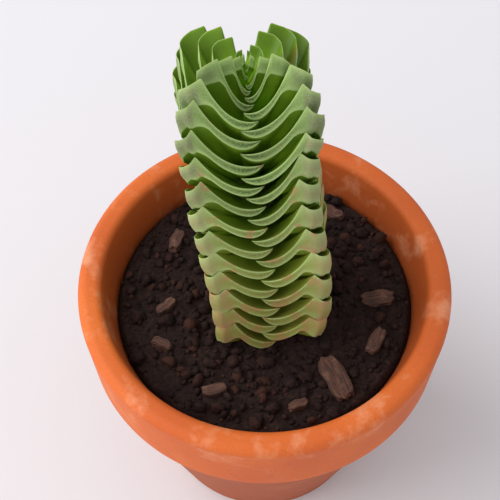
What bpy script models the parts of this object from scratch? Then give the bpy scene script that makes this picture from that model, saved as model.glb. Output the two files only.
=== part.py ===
"""Potted Buddha's Temple crassula: a square column of packed leaf pairs in a terracotta pot.

Units are metres and +Z is up. The origin is the middle of the pot's foot, on the surface that
the pot stands on, and -Y is the plant's front. Nothing moves: the plant stands in its soil.
"""

import math
import random

import bmesh
import bpy
from mathutils import Matrix, Vector, noise
from mathutils.geometry import interpolate_bezier

# Pot: a thrown terracotta pot with a collar
POT_HEIGHT = 0.095
LIP_RADIUS = 0.055
LIP_ROUNDING = 0.003
MOUTH_RADIUS = 0.0479
COLLAR_RADIUS = 0.0538
COLLAR_HEIGHT = 0.025
COLLAR_STEP = 0.002
COLLAR_EDGE = 0.001
FOOT_RADIUS = 0.0341
FOOT_ROUNDING = 0.0015
INNER_TOP_RADIUS = 0.0451
INNER_FLOOR_RADIUS = 0.0275
FLOOR_THICKNESS = 0.008
FLOOR_CORNER = 0.002
DRAIN_RADIUS = 0.006
POT_SIDES = 64

# Soil: filled to a thumb's breadth below the lip
SOIL_BELOW_LIP = 0.012
SOIL_LEVEL = POT_HEIGHT - SOIL_BELOW_LIP
SOIL_EDGE_DIP = 0.002
SOIL_SIDES = 40
SOIL_RINGS = 8
LUMP_HEIGHT = 0.0011
LUMP_SPACING = 0.0075
GAP = 0.0003
HOLE_TOP = 0.008
HOLE_NECK = 0.003

# Column: its axis, as the points of a Bezier curve from the soil's level, and the stem inside it
COLUMN_AXIS = (
    Vector((0.0007, -0.0032, 0.0)),
    Vector((0.0040, 0.0022, 0.0371)),
    Vector((-0.0049, -0.0017, 0.0508)),
    Vector((-0.0053, 0.0132, 0.0786)),
)
AXIS_STEPS = 120
FOOT_TWIST = math.radians(1.4)
TWIST_PER_METRE = math.radians(46.0)
STEM_RADIUS = 0.005
ROOT_RADIUS = 0.0042
BUD_RADIUS = 0.0007
ROOT_DEPTH = 0.030

# Leaf pairs, counted down from the innermost pair in the tip, and the steps between them
LEAF_PAIRS = 28
HEART_HEIGHT = 0.0873
YOUNG_PITCH = 0.00104
MIDDLE_PITCH = 0.00298
OLD_PITCH = 0.00461
YOUNG_PAIR = 2
MIDDLE_PAIR = 8
AGEING_PAIR = 11
OLD_PAIR = 23
SMALLEST_BEAK = 0.41
FULL_BEAK_PAIR = 4.9
SWOLLEN_BEAK = 0.09
SMALLEST_SPREAD = 0.23
FULL_SPREAD_PAIR = 5.6
SWOLLEN_SPREAD = 0.14
SWELL_START = (5.0, 9.0)
SWELL_END = (9.5, 12.5)
STEEP_SLOPE = math.radians(46.0)
LEVEL_SLOPE = math.radians(27.5)
STEEP_PAIR = 5
LEVEL_PAIR = 11

# A full-size leaf: its outline on one face of the column, out from the stem and along the face
SHOULDER = Vector((0.01636, 0.01241))
BEAK_SIDE = 0.0170
BEAK_ROUNDING = 0.0028
BEAK_CORNER_REACH = 0.2
SHOULDER_REACH = 0.4
FACE_HOLLOW = 0.0008
OVERLAP = 0.0024
END_TUCK = 0.0010
ROOT_INSIDE = 0.004
ROOT_FAN = math.radians(60.0)
RISE = 0.0126
YOUNG_RISE = 0.62
FULL_RISE_PAIR = 2.5
TIP_LIFT = 0.78
LIFT_SLOPE = 0.45
LIFT_BOW = 0.25
SWOOP = 2.6
CUPPING = 1.25
THICKNESS_SHARE = 0.76
KEEL_THICKENING = 1.2
KEEL_FALL = 11.0
KEEL_RECEDES = 0.0021
BEAK_DEEPER = 0.0016
ENDING_START = 0.6
END_LEFT = 0.4
LEAF_COLUMNS = 10
LEAF_ROWS = 2
ROW_BIAS = 0.75
TURN_SPREAD = math.radians(1.0)
STRETCH_RANGE = (0.98, 1.02)
SEED = 11

# Bark chips: x and y of the middle, length and turn, in millimetres and degrees
BARK_CHIPS = [
    (21.0, -26.5, 15.0, -62.0),
    (33.0, -14.5, 9.0, 60.0),
    (34.0, 0.5, 10.5, 8.0),
    (10.0, -35.5, 6.0, 25.0),
    (-29.5, -3.5, 7.0, 40.0),
    (-30.0, -16.5, 6.5, -20.0),
    (-14.0, -31.0, 7.5, 15.0),
    (-27.5, 19.5, 8.0, 75.0),
    (21.0, 31.0, 8.0, -35.0),
]
CHIP_WIDTH_SHARE = 0.45
CHIP_THICKNESS = 0.0032
CHIP_SUNK = 0.0008
CHIP_TILT = math.radians(4.0)
CHIP_WEAR = 0.0007
MM = 0.001


def clear_scene():
    for item in list(bpy.data.objects):
        bpy.data.objects.remove(item, do_unlink=True)


def new_collection(name):
    collection = bpy.data.collections.new(name)
    bpy.context.scene.collection.children.link(collection)
    return collection


def material(name, colour, roughness):
    """A plain surface of one colour, given as red, green and blue from 0 to 1."""
    made = bpy.data.materials.new(name)
    made.use_nodes = True
    surface = made.node_tree.nodes["Principled BSDF"]
    surface.inputs["Base Color"].default_value = (*colour, 1.0)
    surface.inputs["Roughness"].default_value = roughness
    surface.inputs["Metallic"].default_value = 0.0
    return made


def object_from_bmesh(bm, name, collection):
    mesh = bpy.data.meshes.new(name)
    bm.to_mesh(mesh)
    bm.free()
    made = bpy.data.objects.new(name, mesh)
    collection.objects.link(made)
    return made


def applied(item):
    """Replace an object's mesh, or its curve, by what its modifiers and bevel make of it."""
    graph = bpy.context.evaluated_depsgraph_get()
    mesh = bpy.data.meshes.new_from_object(item.evaluated_get(graph))
    made = bpy.data.objects.new(item.name + "_mesh", mesh)
    made.matrix_world = item.matrix_world.copy()
    item.users_collection[0].objects.link(made)
    name = item.name
    bpy.data.objects.remove(item, do_unlink=True)
    made.name = name
    mesh.name = name
    return made


def arc(centre, radius, start, end, steps):
    """Points of an arc in the plane of radius and height, with its angles in degrees."""
    points = []
    for step in range(steps + 1):
        angle = math.radians(start + (end - start) * step / steps)
        points.append((centre[0] + radius * math.cos(angle), centre[1] + radius * math.sin(angle)))
    return points


def turned(name, profile, closed, sides, collection):
    """A solid of revolution round Z from points of radius and height."""
    mesh = bpy.data.meshes.new(name)
    edges = [(index, index + 1) for index in range(len(profile) - 1)]
    if closed:
        edges.append((len(profile) - 1, 0))
    mesh.from_pydata([(radius, 0.0, height) for radius, height in profile], edges, [])
    made = bpy.data.objects.new(name, mesh)
    collection.objects.link(made)
    screw = made.modifiers.new("turn", "SCREW")
    screw.steps = sides
    screw.render_steps = sides
    screw.use_merge_vertices = True
    screw.merge_threshold = 0.00005
    screw.use_smooth_shade = True
    return made


# Pot

def pot_profile():
    """Once round the wall: down the outside, across the foot, up the drain hole and the inside."""
    collar_bottom = POT_HEIGHT - COLLAR_HEIGHT
    lip_centre = (LIP_RADIUS - LIP_ROUNDING, POT_HEIGHT - LIP_ROUNDING)
    foot_centre = (FOOT_RADIUS - FOOT_ROUNDING, FOOT_ROUNDING)
    profile = arc(lip_centre, LIP_ROUNDING, 90, 0, 4)
    profile.append((COLLAR_RADIUS, collar_bottom + COLLAR_EDGE))
    profile.append((COLLAR_RADIUS - COLLAR_EDGE, collar_bottom))
    profile.append((COLLAR_RADIUS - COLLAR_STEP, collar_bottom - 0.5 * COLLAR_EDGE))
    profile += arc(foot_centre, FOOT_ROUNDING, -10, -90, 2)
    profile.append((DRAIN_RADIUS, 0.0))
    profile.append((DRAIN_RADIUS, FLOOR_THICKNESS))
    profile.append((INNER_FLOOR_RADIUS - FLOOR_CORNER, FLOOR_THICKNESS))
    profile.append((INNER_FLOOR_RADIUS, FLOOR_THICKNESS + FLOOR_CORNER))
    profile.append((INNER_TOP_RADIUS, SOIL_LEVEL))
    profile.append((MOUTH_RADIUS - 0.0008, POT_HEIGHT - 0.0040))
    profile.append((MOUTH_RADIUS + 0.0008, POT_HEIGHT - 0.0010))
    profile.append((MOUTH_RADIUS + 0.0024, POT_HEIGHT - 0.0001))
    return profile


def make_pot(collection, finish):
    pot = turned("pot", pot_profile(), True, POT_SIDES, collection)
    pot.data.materials.append(finish)
    return pot


# Column: its axis and the sizes of its leaf pairs

def axis_points():
    """Points along the axis, each with its distance from the soil's level."""
    points = []
    walked = 0.0
    curve = interpolate_bezier(*COLUMN_AXIS, AXIS_STEPS)
    for index, point in enumerate(curve):
        if index:
            walked += (point - curve[index - 1]).length
        points.append((walked, point + Vector((0.0, 0.0, SOIL_LEVEL))))
    return points


AXIS = axis_points()


def axis_point(along):
    """The middle of the column at a distance along its axis; straight on past both ends."""
    index = 1
    while index < len(AXIS) - 1 and AXIS[index][0] < along:
        index += 1
    before, after = AXIS[index - 1], AXIS[index]
    share = (along - before[0]) / (after[0] - before[0])
    return before[1] + (after[1] - before[1]) * share


def column_frame(along):
    """A frame on the axis: Z runs up along it, X is turned with the column."""
    step = 0.001
    up = (axis_point(along + step) - axis_point(along - step)).normalized()
    across = Vector((1.0, 0.0, 0.0))
    across = (across - up * across.dot(up)).normalized()
    frame = Matrix((across, up.cross(across), up)).transposed().to_4x4()
    frame.translation = axis_point(along)
    return frame @ Matrix.Rotation(FOOT_TWIST + TWIST_PER_METRE * along, 4, "Z")


def between(pair, first, last):
    """How far a pair is from one pair to another, from 0 to 1, eased at both ends."""
    share = min(1.0, max(0.0, (pair - first) / (last - first)))
    return share * share * (3.0 - 2.0 * share)


def pitch(pair):
    """The step down to the next pair: short in the tip, and longest at the column's foot."""
    grown = (MIDDLE_PITCH - YOUNG_PITCH) * between(pair, YOUNG_PAIR, MIDDLE_PAIR)
    aged = (OLD_PITCH - MIDDLE_PITCH) * between(pair, AGEING_PAIR, OLD_PAIR)
    return YOUNG_PITCH + grown + aged


def edge_height(pair):
    """Where the leaf's edge crosses the middle of a face, measured along the axis."""
    return HEART_HEIGHT - sum(pitch(upper) for upper in range(pair))


def ramp(pair, smallest, full_pair, swollen):
    """A size as a share of the full one: it grows from the tip down and swells below the crown."""
    swell = between(pair, *SWELL_START) * (1.0 - between(pair, *SWELL_END))
    return min(1.0, smallest + (1.0 - smallest) * pair / full_pair) + swollen * swell


def growth(pair):
    """The size of the pair's beaks, and of their distance from the axis."""
    return ramp(pair, SMALLEST_BEAK, FULL_BEAK_PAIR, SWOLLEN_BEAK)


def spread(pair):
    """How far the shoulders stand apart along the faces."""
    return ramp(pair, SMALLEST_SPREAD, FULL_SPREAD_PAIR, SWOLLEN_SPREAD)


def rise(pair):
    """How far a rim lifted by 1 stands above the leaf's edge in the middle of the face."""
    return RISE * min(1.0, YOUNG_RISE + (1.0 - YOUNG_RISE) * pair / FULL_RISE_PAIR)


def root_drop(pair):
    """How far the leaf's root on the stem lies below its edge in the middle of the face."""
    slope = STEEP_SLOPE + (LEVEL_SLOPE - STEEP_SLOPE) * between(pair, STEEP_PAIR, LEVEL_PAIR)
    return (SHOULDER.x - ROOT_INSIDE) * growth(pair) * math.tan(slope)


def thickness(pair):
    """The leaf's thickness along the axis, where its edge crosses the middle of a face."""
    return THICKNESS_SHARE * max(pitch(pair), MIDDLE_PITCH * (0.35 + 0.65 * growth(pair)))


def root_height(pair):
    """Where the leaf grows from the stem, measured along the axis."""
    return edge_height(pair) - root_drop(pair)


# Leaves

def face_to_leaf(out, along, side):
    """From one face of the column to the leaf's own axes, whose X points to its tip."""
    diagonal = math.sqrt(0.5)
    return Vector(((out + along) * diagonal, side * (out - along) * diagonal))


def gone_along(reach):
    """How far along the rim, from 0 at the shoulder to 1 at the end past the face's middle."""
    return max(0.0, (reach - SHOULDER_REACH) / (1.0 - SHOULDER_REACH))


def outline(pair, across):
    """The rim from above: 0 across is the tip, and SHOULDER_REACH either side a shoulder."""
    side = math.copysign(1.0, across)
    reach = abs(across)
    size = growth(pair)
    shoulder = Vector((SHOULDER.x * size, SHOULDER.y * spread(pair)))
    if reach < BEAK_CORNER_REACH:
        angle = 0.25 * math.pi * across / BEAK_CORNER_REACH
        centre = Vector(((BEAK_SIDE - BEAK_ROUNDING) * math.sqrt(2.0), 0.0))
        return (centre + Vector((math.cos(angle), math.sin(angle))) * BEAK_ROUNDING) * size
    if reach < SHOULDER_REACH:
        corner = Vector((BEAK_SIDE, BEAK_SIDE - BEAK_ROUNDING)) * size
        share = (reach - BEAK_CORNER_REACH) / (SHOULDER_REACH - BEAK_CORNER_REACH)
        return face_to_leaf(*corner.lerp(shoulder, share), side)
    gone = gone_along(reach)
    inward = 1.0 - (1.0 + OVERLAP / SHOULDER.y) * gone
    out = shoulder.x - (FACE_HOLLOW * (1.0 - inward * inward) + END_TUCK * gone**6) * size
    return face_to_leaf(out, shoulder.y * inward, side)


def lift(pair, across):
    """The rim's height over its edge: one shoulder of each leaf stands above the other."""
    uphill = across if pair % 2 else -across
    held = max(-SHOULDER_REACH, min(SHOULDER_REACH, uphill))
    shoulder = TIP_LIFT + LIFT_SLOPE * held + LIFT_BOW * held * held
    return shoulder * (1.0 - gone_along(abs(across))) ** SWOOP


def keel(across):
    """Where the rim is the keel under the beak: 1 there, soon 0 along the face."""
    return (1.0 - gone_along(abs(across))) ** KEEL_FALL


def keel_inset(pair, across):
    """How far the keel's lower edge lies inside the rim."""
    beak = max(0.0, 1.0 - abs(across) / SHOULDER_REACH)
    smaller_below = max(0.0, growth(pair) - growth(pair + 2)) * BEAK_SIDE
    return KEEL_RECEDES * beak * growth(pair) + smaller_below * keel(across)


def leaf_point(pair, across, outward, underside):
    """A point of the leaf, with the edge's height in the middle of the face as zero."""
    root = Vector((math.cos(ROOT_FAN * across), math.sin(ROOT_FAN * across))) * ROOT_INSIDE
    plan = (root * growth(pair)).lerp(outline(pair, across), outward)
    lifted = lift(pair, across)
    climb = root_drop(pair) + rise(pair) * lifted
    height = climb * outward ** (1.0 + (CUPPING - 1.0) * lifted) - root_drop(pair)
    if underside:
        near_end = max(0.0, (gone_along(abs(across)) - ENDING_START) / (1.0 - ENDING_START))
        thinner = (1.0 - END_LEFT) * near_end * outward
        thick = thickness(pair) * (1.0 + KEEL_THICKENING * keel(across) * outward)
        inset = keel_inset(pair, across) * outward
        height -= thick * (1.0 - thinner) + inset * BEAK_DEEPER / KEEL_RECEDES
        plan -= plan.normalized() * inset
    return Vector((plan.x, plan.y, height))


def make_leaf(pair, heading, draw, collection):
    """One leaf: a grid bent to shape, with a second one below it as its underside."""
    bm = bmesh.new()
    bmesh.ops.create_grid(bm, x_segments=LEAF_COLUMNS, y_segments=LEAF_ROWS, size=1.0)
    sheet = bm.faces[:] + bm.edges[:] + bm.verts[:]
    raised = bmesh.ops.extrude_face_region(bm, geom=sheet, use_keep_orig=True)
    for part in raised["geom"]:
        if isinstance(part, bmesh.types.BMVert):
            part.co.z = 1.0
    turn = Matrix.Rotation(heading + draw.uniform(-TURN_SPREAD, TURN_SPREAD), 4, "Z")
    stretch = draw.uniform(*STRETCH_RANGE)
    frame = column_frame(edge_height(pair))
    for vertex in bm.verts:
        outward = (0.5 + 0.5 * vertex.co.y) ** ROW_BIAS
        local = leaf_point(pair, vertex.co.x, outward, vertex.co.z < 0.5)
        local.z *= stretch
        vertex.co = frame @ turn @ local
    bmesh.ops.recalc_face_normals(bm, faces=bm.faces)
    return object_from_bmesh(bm, "leaf", collection)


def make_stem(collection):
    """The stem, from its root end in the soil up to the heart of the youngest leaves."""
    curve = bpy.data.curves.new("crassula", "CURVE")
    curve.dimensions = "3D"
    curve.bevel_depth = STEM_RADIUS
    curve.bevel_resolution = 2
    curve.use_fill_caps = True
    lowest = root_height(LEAF_PAIRS - 1) - thickness(LEAF_PAIRS - 1)
    places = [(-ROOT_DEPTH, ROOT_RADIUS), (lowest - 0.002, ROOT_RADIUS), (lowest, STEM_RADIUS)]
    for pair in range(LEAF_PAIRS - 2, -1, -2):
        places.append((root_height(pair), STEM_RADIUS * growth(pair)))
    places.append((edge_height(0), BUD_RADIUS))
    spline = curve.splines.new("POLY")
    spline.points.add(len(places) - 1)
    for point, (height, radius) in zip(spline.points, places):
        point.co = (*axis_point(height), 1.0)
        point.radius = radius / STEM_RADIUS
    stem = bpy.data.objects.new("crassula", curve)
    collection.objects.link(stem)
    stem = applied(stem)
    bm = bmesh.new()
    bm.from_mesh(stem.data)
    bmesh.ops.remove_doubles(bm, verts=bm.verts, dist=0.00001)
    bm.to_mesh(stem.data)
    bm.free()
    return stem


def make_crassula(collection, finish):
    """The whole plant in one solid: the leaves are joined to the stem that they grow from."""
    draw = random.Random(SEED)
    leaves = new_collection("leaves")
    for pair in range(LEAF_PAIRS):
        front = math.radians(-135.0 if pair % 2 else -45.0)
        for heading in (front, front + math.pi):
            make_leaf(pair, heading, draw, leaves)
    stem = make_stem(collection)
    union = stem.modifiers.new("leaves", "BOOLEAN")
    union.operation = "UNION"
    union.operand_type = "COLLECTION"
    union.collection = leaves
    union.solver = "EXACT"
    plant = applied(stem)
    for leaf in list(leaves.objects):
        bpy.data.objects.remove(leaf, do_unlink=True)
    bpy.data.collections.remove(leaves)
    plant.data.materials.clear()
    plant.data.materials.append(finish)
    return plant


# Soil and the chips that lie in it

def soil_height(x, y):
    """Height of the lumpy surface: coarse clods with finer crumbs on them."""
    coarse = noise.noise(Vector((x, y, 0.0)) / LUMP_SPACING)
    fine = noise.noise(Vector((x + 0.05, y, 0.0)) / (0.4 * LUMP_SPACING))
    return SOIL_LEVEL + LUMP_HEIGHT * (coarse + 0.4 * fine)


def wall_radius(height):
    """Radius of the pot's inside on the straight stretch between its floor and the soil's edge."""
    low = FLOOR_THICKNESS + FLOOR_CORNER
    share = (height - low) / (SOIL_LEVEL - low)
    return INNER_FLOOR_RADIUS + (INNER_TOP_RADIUS - INNER_FLOOR_RADIUS) * share


def make_soil(collection, cutters, finish):
    edge = SOIL_LEVEL - SOIL_EDGE_DIP
    top_radius = wall_radius(edge) - GAP
    floor = FLOOR_THICKNESS + GAP
    profile = [(top_radius * ring / SOIL_RINGS, edge) for ring in range(SOIL_RINGS + 1)]
    profile.append((INNER_FLOOR_RADIUS - GAP, floor + FLOOR_CORNER))
    profile.append((INNER_FLOOR_RADIUS - FLOOR_CORNER - GAP, floor))
    profile.append((0.0, floor))
    soil = applied(turned("soil", profile, False, SOIL_SIDES, collection))
    for vertex in soil.data.vertices:
        inside = math.hypot(vertex.co.x, vertex.co.y) < top_radius - GAP
        if vertex.co.z > edge - GAP and inside:
            vertex.co.z = soil_height(vertex.co.x, vertex.co.y)
    cut = soil.modifiers.new("holes", "BOOLEAN")
    cut.operation = "DIFFERENCE"
    cut.operand_type = "COLLECTION"
    cut.collection = cutters
    cut.solver = "EXACT"
    soil.data.materials.append(finish)
    return soil


def hide_cutter(cutter):
    cutter.hide_render = True
    cutter.display_type = "WIRE"


def make_stem_hole(cutters):
    """A plain hole for the root, opening out into a dip under the lowest leaves."""
    last = LEAF_PAIRS - 1
    lowest = root_height(last) - thickness(last)
    slope = root_drop(last) / (SHOULDER.x - ROOT_INSIDE)
    bottom = lowest - 3.0 * GAP
    neck = STEM_RADIUS + 2.0 * GAP
    root = ROOT_RADIUS + 2.0 * GAP
    profile = [
        (0.0, HOLE_TOP),
        (neck + (HOLE_TOP - bottom) / slope, HOLE_TOP),
        (neck, bottom),
        (root, bottom - HOLE_NECK),
        (root, -ROOT_DEPTH - GAP),
        (0.0, -ROOT_DEPTH - GAP),
    ]
    hole = turned("stem_hole", profile, False, 32, cutters)
    hole.matrix_world = column_frame(0.0)
    hide_cutter(hole)


def chip_block(name, chip, margin, collection):
    """A flat block, laid on the soil at the chip's place and larger by a margin all round."""
    x, y, length, turn = chip
    x, y, length = x * MM, y * MM, length * MM
    size = Vector((length, length * CHIP_WIDTH_SHARE, CHIP_THICKNESS))
    size += Vector((margin, margin, margin)) * 2.0
    bm = bmesh.new()
    bmesh.ops.create_cube(bm, size=1.0)
    bmesh.ops.scale(bm, vec=size, verts=bm.verts)
    block = object_from_bmesh(bm, name, collection)
    block.location = (x, y, soil_height(x, y) + 0.5 * CHIP_THICKNESS - CHIP_SUNK)
    block.rotation_euler = (CHIP_TILT * math.sin(turn), CHIP_TILT * math.cos(turn), math.radians(turn))
    return block


def make_chips(collection, cutters, finish):
    for number, chip in enumerate(BARK_CHIPS, start=1):
        block = chip_block(f"bark_chip_{number}", chip, 0.0, collection)
        bevel = block.modifiers.new("worn", "BEVEL")
        bevel.width = CHIP_WEAR
        bevel.segments = 1
        block.data.materials.append(finish)
        pocket = chip_block(f"pocket_{number}", chip, GAP, cutters)
        hide_cutter(pocket)


def build():
    clear_scene()
    parts = new_collection("potted_crassula")
    cutters = new_collection("cutters")
    terracotta = material("terracotta", (0.66, 0.17, 0.05), 0.75)
    earth = material("potting_soil", (0.013, 0.007, 0.006), 0.95)
    leaf = material("leaf", (0.12, 0.25, 0.04), 0.5)
    bark = material("bark", (0.10, 0.045, 0.025), 0.9)
    make_pot(parts, terracotta)
    make_crassula(parts, leaf)
    make_stem_hole(cutters)
    make_chips(parts, cutters, bark)
    make_soil(parts, cutters, earth)


build()
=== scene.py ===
# %% [markdown]
# # A potted Buddha's Temple crassula
# This small succulent grows as a square column. Its leaves sit in pairs, each pair turned a
# quarter turn from the next, and they are packed so tightly that the column looks like a stack of
# curved roof tiles. It stands in a plain terracotta pot with dark soil and a few chips of bark.
# The lesson starts from solids that already have the right sizes, and dresses them: finer leaves,
# crumbly soil, fibrous bark, and a material for each real surface.

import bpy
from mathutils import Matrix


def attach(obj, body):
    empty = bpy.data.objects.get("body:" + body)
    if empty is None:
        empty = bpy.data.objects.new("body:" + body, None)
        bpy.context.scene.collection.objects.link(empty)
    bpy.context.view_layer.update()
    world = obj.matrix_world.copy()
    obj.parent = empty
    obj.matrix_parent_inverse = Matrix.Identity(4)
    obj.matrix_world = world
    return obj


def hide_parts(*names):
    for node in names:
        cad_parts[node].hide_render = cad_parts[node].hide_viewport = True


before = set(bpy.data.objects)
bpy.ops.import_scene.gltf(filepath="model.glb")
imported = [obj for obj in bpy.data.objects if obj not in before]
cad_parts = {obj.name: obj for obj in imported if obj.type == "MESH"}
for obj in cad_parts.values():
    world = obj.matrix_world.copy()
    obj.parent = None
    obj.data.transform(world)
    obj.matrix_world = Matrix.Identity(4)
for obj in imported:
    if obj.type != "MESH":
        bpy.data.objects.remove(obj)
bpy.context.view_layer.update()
print("solids:", ", ".join(sorted(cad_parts)))

# %% Bring in what the lesson uses
import math
import random

import bpy
from mathutils import Matrix, Vector, noise
from mathutils.geometry import interpolate_bezier

MM = 0.001
print("Blender", bpy.app.version_string)

# %% [markdown]
# ## The camera
# The picture looks down on the crown of the plant from a hand's reach away. A camera is easiest to
# place from what it sees: how steeply it looks down, how far it stands from the middle of the
# pot's mouth, and how wide its view is. Two small turns then put the plant where it stands in the
# picture. The alternative, aiming at an empty object, can't give the slight roll.

# %% Place the camera
LOOK_DOWN = math.radians(59.10)
EYE_DISTANCE = 0.35229
AIM_HEIGHT = 0.095
NOD, SWING, ROLL = math.radians(1.36), math.radians(-0.72), math.radians(-0.32)
FOCAL_SHARE = 2.4  # the focal length as a share of the sensor's width
SENSOR_WIDTH, NEAREST, FURTHEST = 36.0, 0.01, 20.0

ahead = Vector((0.0, math.cos(LOOK_DOWN), -math.sin(LOOK_DOWN)))
above = Vector((1.0, 0.0, 0.0)).cross(ahead)
ahead = ahead * math.cos(NOD) * math.cos(SWING) + above * math.sin(NOD)
ahead = ahead + Vector((math.sin(SWING) * math.cos(NOD), 0.0, 0.0))
rightward = ahead.cross(Vector((0.0, 0.0, 1.0))).normalized()
upward = rightward.cross(ahead)
rolled_right = rightward * math.cos(ROLL) + upward * math.sin(ROLL)
rolled_up = upward * math.cos(ROLL) - rightward * math.sin(ROLL)

lens = bpy.data.cameras.new("camera")
lens.sensor_width = SENSOR_WIDTH
lens.lens = FOCAL_SHARE * SENSOR_WIDTH
lens.clip_start, lens.clip_end = NEAREST, FURTHEST
camera = bpy.data.objects.new("camera", lens)
bpy.context.scene.collection.objects.link(camera)
camera.matrix_world = Matrix((rolled_right, rolled_up, -ahead)).transposed().to_4x4()
camera.location = (
    0.0,
    -EYE_DISTANCE * math.cos(LOOK_DOWN),
    EYE_DISTANCE * math.sin(LOOK_DOWN) + AIM_HEIGHT,
)
bpy.context.scene.camera = camera
print("camera at", [round(value, 3) for value in camera.location], "lens", round(lens.lens, 1))

# %% [markdown]
# ## Helpers for materials
# Colours are written as the hex values that a colour picker shows. Those are sRGB, and a shader
# counts light, so one function turns them to linear values. Another one adds a node, sets its
# options and feeds its inputs, which keeps each recipe short enough to read. The shader itself is
# fed in the same way, at the end of each recipe.

# %% Colours and nodes
FIRST, SECOND = 6, 7  # where a Mix node keeps its two colours


def linear(code):
    """A hex colour as linear red, green, blue and alpha, by the curve that defines sRGB."""
    shares = [int(code[place:place + 2], 16) / 255 for place in (1, 3, 5)]
    light = [share / 12.92 if share <= 0.04045 else ((share + 0.055) / 1.055) ** 2.4
             for share in shares]
    return (*light, 1.0)


def feed(finish, node, inputs):
    """Give each input a value, a hex colour, a socket, or the output that a node is using."""
    for name, value in inputs.items():
        if isinstance(value, bpy.types.Node):
            value = next(socket for socket in value.outputs if socket.enabled)
        if isinstance(value, bpy.types.NodeSocket):
            finish.node_tree.links.new(value, node.inputs[name])
        else:
            node.inputs[name].default_value = linear(value) if isinstance(value, str) else value


def add(finish, kind, inputs, **options):
    """Add a node, with its options set and its inputs fed."""
    made = finish.node_tree.nodes.new("ShaderNode" + kind)
    for name, value in options.items():
        setattr(made, name, value)
    feed(finish, made, inputs)
    return made


def new_finish(name, roughness, ior):
    """A material and its shader, with the values that are the same all over the surface."""
    finish = bpy.data.materials.new(name)
    finish.use_nodes = True
    shader = finish.node_tree.nodes["Principled BSDF"]
    feed(finish, shader, {"Roughness": roughness, "IOR": ior})
    return finish, shader


print("white is", [round(value, 2) for value in linear("#ffffff")])

# %% [markdown]
# ## Helpers for modelling
# Operators act on everything that is selected, so each piece starts with nothing selected. What
# grows or lies in large numbers is made one by one and then joined. Both the pot and the soil are
# round, and are drawn up ring by ring, as a potter draws up a wall: a circle is added, and its
# edge is extruded and scaled to each next radius and height.

# %% Selecting, joining and drawing rings


def select_none():
    if bpy.context.mode != "OBJECT":
        bpy.ops.object.mode_set(mode="OBJECT")
    bpy.ops.object.select_all(action="DESELECT")


def select_only(item):
    select_none()
    item.select_set(True)
    bpy.context.view_layer.objects.active = item


def edit_all():
    """Go into edit mode with the whole mesh selected."""
    bpy.ops.object.mode_set(mode="EDIT")
    bpy.ops.mesh.select_all(action="SELECT")


def face_outward():
    """Turn all the faces outward and leave edit mode."""
    bpy.ops.mesh.select_all(action="SELECT")
    bpy.ops.mesh.normals_make_consistent(inside=False)
    bpy.ops.object.mode_set(mode="OBJECT")


def join_all(pieces, name):
    """Apply the places of all the pieces and join them into one."""
    select_none()
    for piece in pieces:
        piece.select_set(True)
    bpy.context.view_layer.objects.active = pieces[0]
    bpy.ops.object.transform_apply(location=True, rotation=True, scale=True)
    bpy.ops.object.join()
    joined = bpy.context.object
    joined.name = joined.data.name = name
    return joined


def draw_rings(name, profile, sides):
    """A round piece from points of radius and height. Its last ring stays selected."""
    select_none()
    radius, height = profile[0]
    bpy.ops.mesh.primitive_circle_add(vertices=sides, radius=radius, location=(0, 0, height))
    piece = bpy.context.object
    piece.name = piece.data.name = name
    bpy.ops.object.transform_apply(location=True)
    edit_all()
    for wider, higher in profile[1:]:
        step = (0.0, 0.0, higher - height)
        share = wider / radius
        bpy.ops.mesh.extrude_region_move(TRANSFORM_OT_translate={"value": step})
        bpy.ops.transform.resize(value=(share, share, 1.0), center_override=(0.0, 0.0, higher))
        radius, height = wider, higher
    return piece


def arc(centre, radius, start, end, steps):
    """Points of radius and height on an arc, with its angles in degrees."""
    points = []
    for step in range(steps + 1):
        angle = math.radians(start + (end - start) * step / steps)
        points.append((centre[0] + radius * math.cos(angle), centre[1] + radius * math.sin(angle)))
    return points


def line(start, end, steps):
    """Points from start to end, without the start itself."""
    return [tuple(a + (b - a) * step / steps for a, b in zip(start, end))
            for step in range(1, steps + 1)]


def smooth(item):
    select_only(item)
    bpy.ops.object.shade_smooth()


print("helpers ready")

# %% [markdown]
# ## The pot
# A flower pot of this kind is pressed from red clay in a mould: a plain cone with a thicker collar,
# a rounded lip, and a drain hole. The sizes are those of the solid, with rounder corners. Fired
# clay is never quite true, so a broad, faint noise then moves the wall by a tenth of a millimetre.

# %% Draw up the pot
POT_HEIGHT = 0.095
LIP_RADIUS, LIP_ROUNDING, LIP_LEAN, LIP_RUN_IN = 0.055, 0.003, 0.0001, 0.0006
MOUTH_RADIUS, MOUTH_ROUNDING, MOUTH_SET_OUT = 0.0479, 0.0026, 0.0024
COLLAR_RADIUS, COLLAR_HEIGHT, COLLAR_ROUNDING = 0.0538, 0.025, 0.0009
COLLAR_STEP, STEP_ROUNDING = 0.002, 0.0012
FOOT_RADIUS, FOOT_ROUNDING = 0.0341, 0.0015
INNER_TOP_RADIUS, INNER_FLOOR_RADIUS = 0.0451, 0.0275
FLOOR_THICKNESS, FLOOR_CORNER = 0.008, 0.002
DRAIN_RADIUS, DRAIN_ROUNDING = 0.006, 0.0006
SOIL_LEVEL = POT_HEIGHT - 0.012
POT_SIDES = 160

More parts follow.
